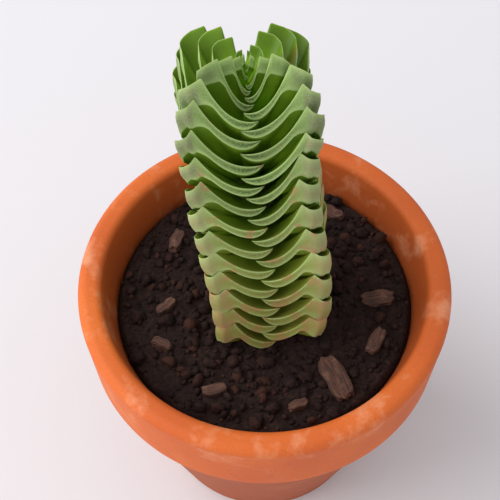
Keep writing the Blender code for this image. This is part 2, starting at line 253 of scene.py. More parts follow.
collar_bottom, lip_middle = POT_HEIGHT - COLLAR_HEIGHT, POT_HEIGHT - LIP_ROUNDING
step_in, step_low = COLLAR_RADIUS - COLLAR_STEP, collar_bottom - STEP_ROUNDING
half_step = 0.5 * STEP_ROUNDING
profile = [(DRAIN_RADIUS, FLOOR_THICKNESS), (DRAIN_RADIUS, DRAIN_ROUNDING)]
profile.append((DRAIN_RADIUS + DRAIN_ROUNDING, 0.0))
profile += line(profile[-1], (FOOT_RADIUS - FOOT_ROUNDING, 0.0), 6)
profile += arc((FOOT_RADIUS - FOOT_ROUNDING, FOOT_ROUNDING), FOOT_ROUNDING, -75, 0, 5)
profile += line(profile[-1], (step_in - half_step, step_low), 16)
profile += arc((step_in + half_step, step_low), STEP_ROUNDING, 180, 100, 4)
collar_corner = (COLLAR_RADIUS - COLLAR_ROUNDING, collar_bottom + COLLAR_ROUNDING)
profile += arc(collar_corner, COLLAR_ROUNDING, -80, 0, 4)
profile += line(profile[-1], (LIP_RADIUS - LIP_LEAN, lip_middle - LIP_RUN_IN), 8)
profile += arc((LIP_RADIUS - LIP_ROUNDING, lip_middle), LIP_ROUNDING, 0, 90, 10)
mouth_middle = (MOUTH_RADIUS + MOUTH_SET_OUT, POT_HEIGHT - MOUTH_ROUNDING)
profile += arc(mouth_middle, MOUTH_ROUNDING, 95, 172, 8)
profile += line(profile[-1], (INNER_TOP_RADIUS, SOIL_LEVEL), 6)
profile += line(profile[-1], (INNER_FLOOR_RADIUS, FLOOR_THICKNESS + FLOOR_CORNER), 10)
profile += line(profile[-1], (INNER_FLOOR_RADIUS - FLOOR_CORNER, FLOOR_THICKNESS), 2)
profile += line(profile[-1], profile[0], 4)

pot = draw_rings("pot_wall", profile, POT_SIDES)
bpy.ops.mesh.select_all(action="SELECT")
bpy.ops.mesh.remove_doubles(threshold=0.00002)
face_outward()
print("pot:", len(profile), "rings of", POT_SIDES, "points")

# %% Make its wall slightly untrue
UNTRUE, UNTRUE_SPAN = 0.00012, 0.035
for vertex in pot.data.vertices:
    # The foot is left alone, because the pot stands on it
    if vertex.co.z > 2.0 * FOOT_ROUNDING:
        outward = Vector((vertex.co.x, vertex.co.y, 0.0)).normalized()
        vertex.co += outward * UNTRUE * noise.noise(vertex.co / UNTRUE_SPAN)
smooth(pot)
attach(pot, "root")
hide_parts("pot")
print("pot:", len(pot.data.polygons), "faces, size", [round(v, 4) for v in pot.dimensions])

# %% [markdown]
# ### Terracotta
# Fired red clay is matt and slightly porous. What the eye gets is a warm orange that drifts by a
# few shades from place to place, a fine grain, and a paler bloom of minerals along the lip, which
# is heavier at two places where it is partly a painted highlight of the lit lip. The inside is
# darker, most where the wall meets the soil. The drift is 30 mm across, the grain 0.6 mm. Real
# clay grit is finer, and is drawn this coarse so that it shows.

# %% Terracotta: the clay and its grain
terracotta, shader = new_finish("fired_clay", 0.62, 1.5)
where = add(terracotta, "TexCoord", {}).outputs["Object"]
drift = add(terracotta, "TexNoise", {"Vector": where, "Scale": 1 / (30 * MM), "Detail": 3.0})
grain = add(terracotta, "TexNoise", {"Vector": where, "Scale": 1 / (0.6 * MM), "Detail": 4.0})
drift_share = add(terracotta, "MapRange", {"Value": drift, "From Min": 0.35, "From Max": 0.65})
clay = add(terracotta, "Mix", {
    0: drift_share, FIRST: "#cf6129", SECOND: "#e0702c"}, data_type="RGBA")
grain_share = add(terracotta, "MapRange", {
    "Value": grain, "From Min": 0.4, "From Max": 0.75, "To Max": 0.22})
grained = add(terracotta, "Mix", {
    0: grain_share, FIRST: clay, SECOND: "#b04e20"}, data_type="RGBA")
print("terracotta: clay and grain make", len(terracotta.node_tree.nodes), "nodes")

# %% Terracotta: darker inside
# The inside is darker, most at the soil's level and less up to the lip
INSIDE_FROM, INSIDE_TO = MOUTH_RADIUS + 0.0012, MOUTH_RADIUS - 0.0008
height = add(terracotta, "SeparateXYZ", {"Vector": where})
flat = add(terracotta, "VectorMath", {0: where, 1: (1.0, 1.0, 0.0)}, operation="MULTIPLY")
radius = add(terracotta, "VectorMath", {0: flat}, operation="LENGTH")
inside = add(terracotta, "MapRange", {
    "Value": radius, "From Min": INSIDE_FROM, "From Max": INSIDE_TO},
    interpolation_type="SMOOTHSTEP")
low = add(terracotta, "MapRange", {
    "Value": height.outputs["Z"], "From Min": POT_HEIGHT - 0.001, "From Max": SOIL_LEVEL,
    "To Min": 0.45, "To Max": 1.0})
darkened_share = add(terracotta, "Math", {0: inside, 1: low}, operation="MULTIPLY")
darkened = add(terracotta, "Mix", {0: darkened_share, FIRST: grained, SECOND: "#a84e20"}, data_type="RGBA")
print("damp inside a radius of", round(INSIDE_FROM * 1000, 1), "mm")

# %% Terracotta: the bloom of minerals and a painted highlight
# Ragged pale patches of mineral bloom near the lip, heaviest at two places on it, where they are
# partly a painted highlight of the lit lip
BLOOM_AND_HIGHLIGHT_MARKS = ((52.0, -7.3), (21.5, -49.0))
MARK_REACH, MARK_CORE, MARK_STRENGTH = 6, 1, 0.14
BLOOM_FROM, BLOOM_TO = POT_HEIGHT - 0.022, POT_HEIGHT - 0.002
patches = add(terracotta, "TexNoise", {
    "Vector": where, "Scale": 1 / (14 * MM), "Detail": 6.0, "Roughness": 0.65})
bloom_and_highlight = patches
for mark_x, mark_y in BLOOM_AND_HIGHLIGHT_MARKS:
    away = add(terracotta, "VectorMath", {
        0: where, 1: (mark_x * MM, mark_y * MM, POT_HEIGHT)}, operation="DISTANCE")
    heavier = add(terracotta, "MapRange", {
        "Value": away, "From Min": MARK_REACH * MM, "From Max": MARK_CORE * MM,
        "To Max": MARK_STRENGTH})
    bloom_and_highlight = add(terracotta, "Math", {0: bloom_and_highlight, 1: heavier}, operation="ADD")
patchy = add(terracotta, "MapRange", {"Value": bloom_and_highlight, "From Min": 0.54, "From Max": 0.70})
near_lip = add(terracotta, "MapRange", {
    "Value": height.outputs["Z"], "From Min": BLOOM_FROM, "From Max": BLOOM_TO,
    "To Min": 0.10, "To Max": 0.48})
bloom_and_highlight_share = add(terracotta, "Math", {0: patchy, 1: near_lip}, operation="MULTIPLY")
bloomed_and_highlighted = add(terracotta, "Mix", {0: bloom_and_highlight_share, FIRST: darkened, SECOND: "#f0b088"}, data_type="RGBA")
dry = add(terracotta, "MapRange", {"Value": grain, "To Min": 0.52, "To Max": 0.72})
relief = add(terracotta, "Bump", {"Height": grain, "Strength": 0.35, "Distance": 0.12 * MM})
feed(terracotta, shader, {
    "Base Color": bloomed_and_highlighted, "Roughness": dry, "Normal": relief, "Specular IOR Level": 0.3})
pot.data.materials.append(terracotta)
print("terracotta:", len(terracotta.node_tree.nodes), "nodes")

# %% [markdown]
# ## The column's growth
# The plant follows a few simple laws. The axis is a gentle curve. Leaf pairs are counted down from
# the tip: the young ones are small, steep and close together, the old ones are full size, flatter
# and further apart. Writing the laws down once lets every leaf be bent from one formula, which
# no amount of moving points by hand could keep regular.

# %% The axis
COLUMN_AXIS = (
    Vector((0.0007, -0.0032, 0.0)),
    Vector((0.0040, 0.0022, 0.0371)),
    Vector((-0.0049, -0.0017, 0.0508)),
    Vector((-0.0053, 0.0132, 0.0786)),
)
AXIS_STEPS = 120
FOOT_TWIST, TWIST_PER_METRE = math.radians(1.4), math.radians(46.0)


def walked_axis():
    """Points along the axis, each with its distance from the soil's level."""
    points, walked = [], 0.0
    curve = interpolate_bezier(*COLUMN_AXIS, AXIS_STEPS)
    for index, point in enumerate(curve):
        if index:
            walked += (point - curve[index - 1]).length
        points.append((walked, point + Vector((0.0, 0.0, SOIL_LEVEL))))
    return points


AXIS = walked_axis()


def axis_point(along):
    """The middle of the column at a distance along its axis; straight on past both ends."""
    index = 1
    while index < len(AXIS) - 1 and AXIS[index][0] < along:
        index += 1
    before, after = AXIS[index - 1], AXIS[index]
    return before[1].lerp(after[1], (along - before[0]) / (after[0] - before[0]))


def column_frame(along):
    """A frame on the axis: Z runs up along it, X is turned with the column."""
    up = (axis_point(along + MM) - axis_point(along - MM)).normalized()
    across = Vector((1.0, 0.0, 0.0))
    across = (across - up * across.dot(up)).normalized()
    placed = Matrix((across, up.cross(across), up)).transposed().to_4x4()
    placed.translation = axis_point(along)
    return placed @ Matrix.Rotation(FOOT_TWIST + TWIST_PER_METRE * along, 4, "Z")


print("the axis is", round(AXIS[-1][0] * 1000, 1), "mm long")

# %% [markdown]
# ### The pairs
# The pairs are numbered from 0 at the tip. The heart has three more pairs of tiny buds, with
# numbers below 0, each about half as large as the pair under it. Every size eases from its young
# value to its old one, and the leaves just under the crown are a little swollen.

# %% The laws of growth
LEAF_PAIRS, BUD_PAIRS = 28, 3
HEART_HEIGHT, BUD_PITCH = 0.0873, 0.0012
YOUNG_PITCH, MIDDLE_PITCH, OLD_PITCH = 0.00104, 0.00298, 0.00461
YOUNG_PAIR, MIDDLE_PAIR, AGEING_PAIR, OLD_PAIR = 2, 8, 11, 23
SMALLEST_BEAK, FULL_BEAK_PAIR, SWOLLEN_BEAK = 0.40, 4.7, 0.09
SMALLEST_SPREAD, FULL_SPREAD_PAIR, SWOLLEN_SPREAD = 0.23, 5.4, 0.14
SLOW_START, BUD_SHRINKING = 1.3, 0.55
SWELL_START, SWELL_END = (5.0, 9.0), (9.5, 12.5)


def between(pair, first, last):
    """How far a pair is from one pair to another, from 0 to 1, eased at both ends."""
    share = min(1.0, max(0.0, (pair - first) / (last - first)))
    return share * share * (3.0 - 2.0 * share)


def pitch(pair):
    """How far the next pair stands below this one."""
    grown = (MIDDLE_PITCH - YOUNG_PITCH) * between(pair, YOUNG_PAIR, MIDDLE_PAIR)
    aged = (OLD_PITCH - MIDDLE_PITCH) * between(pair, AGEING_PAIR, OLD_PAIR)
    return YOUNG_PITCH + grown + aged


def edge_height(pair):
    """Where the rims of a pair end, as a distance along the axis."""
    if pair < 0:
        return HEART_HEIGHT - BUD_PITCH * pair
    return HEART_HEIGHT - sum(pitch(upper) for upper in range(pair))


def ramp(pair, smallest, full_pair, swollen):
    """A size as a share of the full one: it grows from the bud down and swells below the crown."""
    if pair < 0:
        return smallest * BUD_SHRINKING ** -pair
    swell = between(pair, *SWELL_START) * (1.0 - between(pair, *SWELL_END))
    grown = min(1.0, pair / full_pair) ** SLOW_START
    return smallest + (1.0 - smallest) * grown + swollen * swell


def growth(pair):
    """How far the leaf reaches out from the axis."""
    return ramp(pair, SMALLEST_BEAK, FULL_BEAK_PAIR, SWOLLEN_BEAK)


def spread(pair):
    """How far its shoulders stand from the middle of their faces."""
    return ramp(pair, SMALLEST_SPREAD, FULL_SPREAD_PAIR, SWOLLEN_SPREAD)


print("lowest pair stands", round(edge_height(LEAF_PAIRS - 1) * 1000, 1), "mm above the soil")

# %% [markdown]
# ### The form of a leaf
# Seen from above, a leaf is a thick scoop that fills one corner of the square. Its rim climbs from
# the middle of one face to a high shoulder, runs round the corner as a blunt beak, and goes down
# all the way along the next face. The rim is not a knife edge but a flat band. On a grown leaf it
# is two and a half to four millimetres tall, and nearly three times as tall at the beak, where it
# covers the beak below. It thins out to a point at both ends. A place along the rim is a number:
# 0 is the tip of the beak, 0.4 and -0.4 are the two shoulders, and 1 and -1 are the two ends.

# %% The rim, seen from above
SHOULDER = Vector((0.01636, 0.01241))
BEAK_SIDE, BEAK_ROUNDING = 0.0170, 0.0028
BEAK_CORNER_REACH, SHOULDER_REACH = 0.2, 0.4
FACE_HOLLOW, OVERLAP, END_TUCK, END_TUCK_POWER = 0.0008, 0.0024, 0.0010, 6


def face_to_leaf(out, along, side):
    """From one face of the column to the leaf's own axes, whose X points to its tip."""
    diagonal = math.sqrt(0.5)
    return Vector(((out + along) * diagonal, side * (out - along) * diagonal))


def gone_along(reach):
    """How far a place is from the shoulder to the end of the rim, from 0 to 1."""
    return max(0.0, (reach - SHOULDER_REACH) / (1.0 - SHOULDER_REACH))


def outline(pair, across):
    """The rim from above, in the leaf's own axes."""
    side = math.copysign(1.0, across)
    reach = abs(across)
    if reach < BEAK_CORNER_REACH:
        angle = 0.25 * math.pi * across / BEAK_CORNER_REACH
        centre = Vector(((BEAK_SIDE - BEAK_ROUNDING) * math.sqrt(2.0), 0.0))
        return (centre + Vector((math.cos(angle), math.sin(angle))) * BEAK_ROUNDING) * growth(pair)
    shoulder = Vector((SHOULDER.x * growth(pair), SHOULDER.y * spread(pair)))
    if reach < SHOULDER_REACH:
        corner = Vector((BEAK_SIDE, BEAK_SIDE - BEAK_ROUNDING)) * growth(pair)
        share = (reach - BEAK_CORNER_REACH) / (SHOULDER_REACH - BEAK_CORNER_REACH)
        return face_to_leaf(*corner.lerp(shoulder, share), side)
    gone = gone_along(reach)
    inward = 1.0 - (1.0 + OVERLAP / SHOULDER.y) * gone
    tucked = FACE_HOLLOW * (1.0 - inward ** 2) + END_TUCK * gone ** END_TUCK_POWER
    return face_to_leaf(shoulder.x - tucked * growth(pair), shoulder.y * inward, side)


print("rim at the tip, a shoulder and an end:",
      [tuple(round(v * 1000, 1) for v in outline(12, a)) for a in (0.0, 0.4, 1.0)])

# %% Its height and its thickness
RISE, YOUNG_RISE, FULL_RISE_PAIR, BUD_RISE = 0.0126, 0.62, 2.5, 0.72
TIP_LIFT, LIFT_SLOPE, LIFT_BOW, SWOOP = 0.78, 0.45, 0.25, 2.6
STEEP_SLOPE, LEVEL_SLOPE = math.radians(46.0), math.radians(27.5)
STEEP_PAIR, LEVEL_PAIR = 5, 11
ROOT_INSIDE = 0.004
THICKNESS_SHARE, THINNEST_YOUNG = 0.84, 0.35
KEEL_REACH, KEEL_FALL = 0.22, 1.6
KEEL_RECEDES, SHOULDER_RECEDES = 0.0020, 0.0003
OLD_KEEL_FILLS, FILLING_PAIRS = 0.45, (8.0, 13.0)


def lift(pair, across):
    """The rim's height over its ends, from 0 to 1. One shoulder stands higher than the other."""
    uphill = across if pair % 2 else -across
    held = max(-SHOULDER_REACH, min(SHOULDER_REACH, uphill))
    shoulder = TIP_LIFT + LIFT_SLOPE * held + LIFT_BOW * held * held
    return shoulder * (1.0 - gone_along(abs(across))) ** SWOOP


def keel(across):
    """How far this is the keel under the beak, from 0 to 1."""
    return max(0.0, 1.0 - gone_along(abs(across)) / KEEL_REACH) ** KEEL_FALL


def rise(pair):
    """How far the rim climbs from its ends to its highest place."""
    if pair < 0:
        return RISE * YOUNG_RISE * BUD_RISE ** -pair
    return RISE * min(1.0, YOUNG_RISE + (1.0 - YOUNG_RISE) * pair / FULL_RISE_PAIR)


def root_drop(pair):
    """How far the leaf's root lies below the ends of its rim."""
    slope = STEEP_SLOPE + (LEVEL_SLOPE - STEEP_SLOPE) * between(pair, STEEP_PAIR, LEVEL_PAIR)
    return (SHOULDER.x - ROOT_INSIDE) * growth(pair) * math.tan(slope)


def thickness(pair):
    young = THINNEST_YOUNG + (1.0 - THINNEST_YOUNG) * growth(pair)
    return THICKNESS_SHARE * max(pitch(pair), MIDDLE_PITCH * young)


def keel_inset(pair, across):
    """How far the keel's lower edge stands back, to end inside the next leaf of its corner."""
    beak = max(0.0, 1.0 - abs(across) / SHOULDER_REACH)
    smaller_below = max(0.0, growth(pair) - growth(pair + 2)) * BEAK_SIDE
    filled = OLD_KEEL_FILLS * between(pair, *FILLING_PAIRS)
    recedes = KEEL_RECEDES * beak * (1.0 - filled) + SHOULDER_RECEDES * keel(across)
    return recedes * growth(pair) + smaller_below * keel(across)


print("thickness of a young and an old leaf in mm:",
      [round(thickness(pair) * 1000, 1) for pair in (0, LEAF_PAIRS - 1)])

# %% [markdown]
# ### The leaf's two surfaces
# The upper and the lower surface follow one formula, a thickness apart. Under the beak the lower
# one stands back and reaches down as a keel, and near the ends of the rim it closes in on the
# upper one. The formula gives the rim a sharp corner at each shoulder. Real shoulders are soft, so
# a second function bends the surface round there.

# %% A point of a leaf
ROOT_FAN, CUPPING = math.radians(60.0), 1.25
KEEL_THICKENING = 1.95
ENDING_START, ENDING_POWER, END_LEFT = 0.6, 0.7, 0.08
SHOULDER_ROUNDING = 0.022


def leaf_point(pair, across, outward, underside):
    """A point of the leaf, with the height of the rim's ends as zero."""
    size = growth(pair)
    root = Vector((math.cos(ROOT_FAN * across), math.sin(ROOT_FAN * across))) * ROOT_INSIDE
    plan = (root * size).lerp(outline(pair, across), outward)
    drop = root_drop(pair)
    lifted = lift(pair, across)
    climb = drop + rise(pair) * lifted
    height = climb * outward ** (1.0 + (CUPPING - 1.0) * lifted) - drop
    if underside:
        near_end = max(0.0, (gone_along(abs(across)) - ENDING_START) / (1.0 - ENDING_START))
        ending = 1.0 - max(END_LEFT, (1.0 - near_end ** 2) ** ENDING_POWER)
        thick = thickness(pair) * (1.0 + KEEL_THICKENING * keel(across) * outward)
        inset = keel_inset(pair, across) * outward
        height -= thick * (1.0 - ending * outward) - inset
        plan -= plan.normalized() * inset
    return Vector((plan.x, plan.y, height))


def bend(before, corner, after, share):
    """A point on the curve that rounds a corner off."""
    return before.lerp(corner, share).lerp(corner.lerp(after, share), share)


def soft_point(pair, across, outward, underside):
    """The same point, with the two shoulders rounded off."""
    past = (abs(across) - SHOULDER_REACH) / SHOULDER_ROUNDING
    if abs(past) >= 1.0:
        return leaf_point(pair, across, outward, underside)
    reaches = (SHOULDER_REACH + step * SHOULDER_ROUNDING for step in (-1, 0, 1))
    near = [leaf_point(pair, math.copysign(reach, across), outward, underside)
            for reach in reaches]
    return bend(*near, 0.5 + 0.5 * past)


print("the tip of a leaf, in mm:", [round(v * 1000, 1) for v in soft_point(12, 0.0, 1.0, False)])

# %% [markdown]
# ### Its band
# The band joins the edges of the two surfaces. Where it meets them the corner is rounded off by a
# third of a millimetre, and between the two corners the band is pressed in slightly, so that
# light catches its edges as on the plant. Under the beak it bulges out instead.

# %% One cross-section of a leaf
TOP_ROWS, UNDER_ROWS, BAND_ROWS, ROW_CROWDING = 8, 4, 4, 0.75
CORNER_ROUNDING, CORNER_LIMIT = 0.00032, 0.3
BAND_HOLLOW, KEEL_BULGE = 0.00016, 0.0006
TOP_CORNER, LOW_CORNER = ((0.33, 0.8), (0.67, 1.0)), ((0.33, 0.9), (0.67, 0.6))
EDGE_ON_BAND = 0.75


def cross_section(pair, across):
    """Points round the leaf, each with how far it is band, edge, and out from the root."""
    top_edge = soft_point(pair, across, 1.0, False)
    low_edge = soft_point(pair, across, 1.0, True)
    band = (low_edge - top_edge).length
    width = (top_edge - soft_point(pair, across, 0.0, False)).length
    rounding = min(CORNER_ROUNDING, CORNER_LIMIT * band)
    last = 1.0 - rounding / width
    points = []
    for row in range(TOP_ROWS + 1):
        outward = last * (row / TOP_ROWS) ** ROW_CROWDING
        points.append((soft_point(pair, across, outward, False), 0.0, 0.0, outward))
    onto_band = top_edge.lerp(low_edge, rounding / band)
    for share, edge in TOP_CORNER:
        points.append((bend(points[TOP_ROWS][0], top_edge, onto_band, share), share, edge, 1.0))
    off_band = low_edge.lerp(top_edge, rounding / band)
    inward = Vector((-top_edge.x, -top_edge.y, 0.0)).normalized()
    pressed = inward * (BAND_HOLLOW - (BAND_HOLLOW + KEEL_BULGE) * keel(across)) * growth(pair)
    for row in range(BAND_ROWS + 1):
        share = row / BAND_ROWS
        place = onto_band.lerp(off_band, share) + pressed * math.sin(math.pi * share)
        points.append((place, 1.0, EDGE_ON_BAND * abs(2.0 * share - 1.0) ** 2, 1.0))
    below = soft_point(pair, across, last, True)
    for share, edge in LOW_CORNER:
        points.append((bend(off_band, low_edge, below, share), 1.0 - share, edge, 1.0))
    for row in range(UNDER_ROWS, -1, -1):
        outward = last * row / UNDER_ROWS
        points.append((soft_point(pair, across, outward, True), 0.0, 0.0, outward))
    points.append(points[0])
    return points


ROUND_ROWS = len(cross_section(10, 0.0))
print("points round a leaf:", ROUND_ROWS)

# %% [markdown]
# ### Bending the leaves
# Each leaf starts as a flat grid. One side of the grid runs along the rim and the other goes once
# round the cross-section. Its points are moved to their places by the formula, its two long
# edges are merged and its ends are filled. No two leaves are quite alike: each is turned by up to
# a degree and stretched by up to 2 percent, the young ones at the back are broader, and the
# lowest have withered a little. Every point also keeps the numbers that the finish reads later,
# such as how far it is band, how old its leaf is, and whether the one stained place is here.

# %% Places along the rim
BEAK_COLUMNS, FACE_COLUMNS = 8, 15


def columns():
    """Places along the rim, closer together round the beak."""
    half = [SHOULDER_REACH * step / BEAK_COLUMNS for step in range(BEAK_COLUMNS)]
    half += [SHOULDER_REACH + (1.0 - SHOULDER_REACH) * step / FACE_COLUMNS
             for step in range(FACE_COLUMNS + 1)]
    half += [SHOULDER_REACH + SHOULDER_ROUNDING * step for step in (-1.0, -0.5, 0.5, 1.0)]
    half.sort()
    return [-reach for reach in reversed(half[1:])] + half


COLUMNS = columns()
print("places along the rim:", len(COLUMNS))

# %% Make a leaf
TURN_SPREAD = math.radians(1.0)
STRETCH_RANGE = (0.98, 1.02)
BACK_REACH, BACK_BREADTH, BACK_PAIRS = 0.15, 0.5, 7
WITHERING, WITHERED_PAIRS = 0.08, (23.5, 27.0)
STAINED_LEAF, STAIN_ACROSS, STAIN_WIDTH = (3, 45), -0.40, 0.10
BEAK_FADES = (0.30, 0.46)
MARKS = ("band", "edge", "outward", "beak", "far", "age", "tone", "stain")
draw, shade = random.Random(11), random.Random(5)


def make_leaf(pair, heading):
    """A leaf of a pair. Its heading is in degrees from the right, as seen from above."""
    select_none()
    bpy.ops.mesh.primitive_grid_add(
        x_subdivisions=ROUND_ROWS - 1, y_subdivisions=len(COLUMNS) - 1, size=2.0)
    leaf = bpy.context.object
    mesh = leaf.data
    turn = math.radians(heading) + draw.uniform(-TURN_SPREAD, TURN_SPREAD)
    stretch = draw.uniform(*STRETCH_RANGE)
    placed = column_frame(edge_height(pair)) @ Matrix.Rotation(turn, 4, "Z")
    tone, age = shade.random(), max(0.0, pair / LEAF_PAIRS)
    broad = 1.0 - between(pair, 0, BACK_PAIRS) if heading > 0 else 0.0
    shrunk = 1.0 - WITHERING * between(pair, *WITHERED_PAIRS)
    marks = {name: [] for name in MARKS}
    for column, across in enumerate(COLUMNS):
        beak = 1.0 - between(abs(across), *BEAK_FADES)
        far = gone_along(abs(across))
        stain = max(0.0, 1.0 - abs(across - STAIN_ACROSS) / STAIN_WIDTH)
        stain *= (pair, heading) == STAINED_LEAF
        for row, (place, band, edge, outward) in enumerate(cross_section(pair, across)):
            place = Vector((
                place.x * (1.0 + BACK_REACH * broad),
                place.y * (1.0 + BACK_BREADTH * broad * (1.0 - far)), place.z * stretch))
            mesh.vertices[column * ROUND_ROWS + row].co = placed @ (place * shrunk)
            values = (band, edge, outward, beak, far, age, tone, stain * (1.0 - band))
            for name, value in zip(MARKS, values):
                marks[name].append(value)
    for name, values in marks.items():
        mesh.attributes.new(name, "FLOAT", "POINT").data.foreach_set("value", values)
    edit_all()
    bpy.ops.mesh.remove_doubles(threshold=0.000005)
    bpy.ops.mesh.fill_holes(sides=0)
    face_outward()
    return leaf


print("each leaf is a grid of", ROUND_ROWS, "by", len(COLUMNS), "points")

# %% Grow all the pairs and join them
leaves = []
for pair in [*range(LEAF_PAIRS), *range(-BUD_PAIRS, 0)]:
    for heading in ((-135, 45) if pair % 2 else (-45, 135)):
        leaves.append(make_leaf(pair, heading))
column = join_all(leaves, "leaf_column")
bpy.ops.object.shade_smooth()
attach(column, "root")
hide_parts("crassula")
print("leaves:", len(leaves), "with", len(column.data.polygons), "faces")

# %% [markdown]
# ### The stem
# Hardly anything of the stem shows, but the leaves have to grow from something, and it is what
# stands in the soil. A curve with a round bevel makes it: the thickness is given per point.

# %% Make the stem
STEM_RADIUS, ROOT_RADIUS, BUD_RADIUS, ROOT_DEPTH = 0.005, 0.0042, 0.0007, 0.030
STEM_WIDENS_OVER = 0.002


def root_height(pair):
    return edge_height(pair) - root_drop(pair)


lowest = root_height(LEAF_PAIRS - 1) - thickness(LEAF_PAIRS - 1)
places = [(-ROOT_DEPTH, ROOT_RADIUS), (lowest - STEM_WIDENS_OVER, ROOT_RADIUS)]
places.append((lowest, STEM_RADIUS))
places += [(root_height(pair), STEM_RADIUS * growth(pair))
           for pair in range(LEAF_PAIRS - 2, -1, -2)]
places.append((root_height(0) + BUD_RADIUS, BUD_RADIUS))
curve = bpy.data.curves.new("stem", "CURVE")
curve.dimensions = "3D"
curve.bevel_depth = STEM_RADIUS
curve.bevel_resolution = 4
curve.use_fill_caps = True
spline = curve.splines.new("POLY")
spline.points.add(len(places) - 1)
for point, (height_above, radius_here) in zip(spline.points, places):
    point.co = (*axis_point(height_above), 1.0)
    point.radius = radius_here / STEM_RADIUS
stem = bpy.data.objects.new("stem", curve)
bpy.context.scene.collection.objects.link(stem)
select_only(stem)
bpy.ops.object.convert(target="MESH")
stem = bpy.context.object
smooth(stem)
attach(stem, "root")
print("stem:", len(stem.data.polygons), "faces")

# %% [markdown]
# ### The skin of the leaves
# The skin is a living one: smooth and deep green on the upper side, and covered with minute pale
# warts, called papillae, on the band and the beak, which makes them look frosted. Both edges of
# the band are pale lines, partly a paler margin and partly a painted highlight. The hollow of the
# upper side is painted lighter towards the root, and the band darker towards its ends, as painted
# light and shade. With age the green turns to olive, and the edges dry to a pinkish tan.
# Real papillae are a tenth of a millimetre across. They are drawn four times as coarse so that
# they show.

# %% Leaf skin: what it reads
skin, shader = new_finish("leaf_skin", 0.45, 1.4)
where = add(skin, "TexCoord", {}).outputs["Object"]
mark = {name: add(skin, "Attribute", {}, attribute_name=name).outputs["Fac"] for name in MARKS}
warts = add(skin, "TexVoronoi", {"Vector": where, "Scale": 1 / (0.42 * MM)})
blotch = add(skin, "TexNoise", {"Vector": where, "Scale": 1 / (4.5 * MM), "Detail": 4.0})
print("leaf skin reads", ", ".join(mark))

# %% Leaf skin: the upper side
# Lighter green towards the root, a painted light in the shaded hollow of the scoop, deeper
# towards the rim, with broad soft blotches and the one stain
outer = add(skin, "MapRange", {
    "Value": mark["outward"], "From Min": 0.45, "From Max": 0.9}, interpolation_type="SMOOTHSTEP")
scoop_green_painted_light = add(skin, "Mix", {0: outer, FIRST: "#90bc26", SECOND: "#5d7e1b"}, data_type="RGBA")
glow_share = add(skin, "MapRange", {
    "Value": blotch, "From Min": 0.48, "From Max": 0.72, "To Max": 0.7})
upper = add(skin, "Mix", {0: glow_share, FIRST: scoop_green_painted_light, SECOND: "#6d8c1e"}, data_type="RGBA")
stain_share = add(skin, "Math", {0: mark["stain"], 1: blotch}, operation="MULTIPLY")
stained = add(skin, "Mix", {0: stain_share, FIRST: upper, SECOND: "#8c3a12"}, data_type="RGBA")
print("upper side:", len(skin.node_tree.nodes), "nodes so far")

# %% Leaf skin: the band
# Sage green, darker towards its ends as a painted shade where the leaves crowd it, greyer on the
# beak, with pale warts
painted_end_shade_share = add(skin, "MapRange", {"Value": mark["far"], "From Min": 0.0, "From Max": 0.75})
sage_with_painted_shade = add(skin, "Mix", {0: painted_end_shade_share, FIRST: "#84a055", SECOND: "#425b1a"}, data_type="RGBA")
grown_share = add(skin, "MapRange", {
    "Value": mark["age"], "From Min": 0.0, "From Max": 0.2, "To Min": 0.1})
frost_share = add(skin, "Math", {0: mark["beak"], 1: grown_share}, operation="MULTIPLY")
weathered = add(skin, "Mix", {
    0: mark["age"], FIRST: "#6b7d51", SECOND: "#a89e78"}, data_type="RGBA")
frost = add(skin, "Mix", {0: frost_share, FIRST: sage_with_painted_shade, SECOND: weathered}, data_type="RGBA")
wart_share = add(skin, "MapRange", {
    "Value": warts, "From Min": 0.55, "From Max": 0.15, "To Max": 0.6})
warty = add(skin, "Mix", {0: wart_share, FIRST: frost, SECOND: "#9dab80"}, data_type="RGBA")
body = add(skin, "Mix", {0: mark["band"], FIRST: stained, SECOND: warty}, data_type="RGBA")
print("band:", len(skin.node_tree.nodes), "nodes so far")

# %% Leaf skin: age and edge lines
# Old leaves are olive. The pale edge lines, partly a painted highlight, have dry tan
# stretches that grow with age, and a faint tan goes on from them over the band
aged_share = add(skin, "MapRange", {
    "Value": mark["age"], "From Min": 0.35, "From Max": 1.0, "To Max": 0.75})
aged = add(skin, "Mix", {0: aged_share, FIRST: body, SECOND: "#9d9644"}, data_type="RGBA")
dry_limit = add(skin, "MapRange", {
    "Value": mark["age"], "From Min": 0.2, "From Max": 1.0, "To Min": 0.66, "To Max": 0.46})
dry_gap = add(skin, "Math", {0: blotch, 1: dry_limit}, operation="SUBTRACT")
dry_share = add(skin, "MapRange", {"Value": dry_gap, "From Max": 0.05})
edge_line_and_highlight = add(skin, "Mix", {
    0: dry_share, FIRST: "#b2ca84", SECOND: "#c29470"}, data_type="RGBA")
edge_line_and_highlight_share = add(skin, "Math", {0: mark["edge"], 1: 0.75}, operation="MULTIPLY")
dry_band = add(skin, "Math", {0: mark["band"], 1: dry_share}, operation="MULTIPLY")
dry_tint = add(skin, "Math", {0: dry_band, 1: 0.25}, operation="MULTIPLY")
tanned = add(skin, "Mix", {0: dry_tint, FIRST: aged, SECOND: "#b0805c"}, data_type="RGBA")
edged_and_highlighted = add(skin, "Mix", {0: edge_line_and_highlight_share, FIRST: tanned, SECOND: edge_line_and_highlight}, data_type="RGBA")
print("age and edges:", len(skin.node_tree.nodes), "nodes so far")

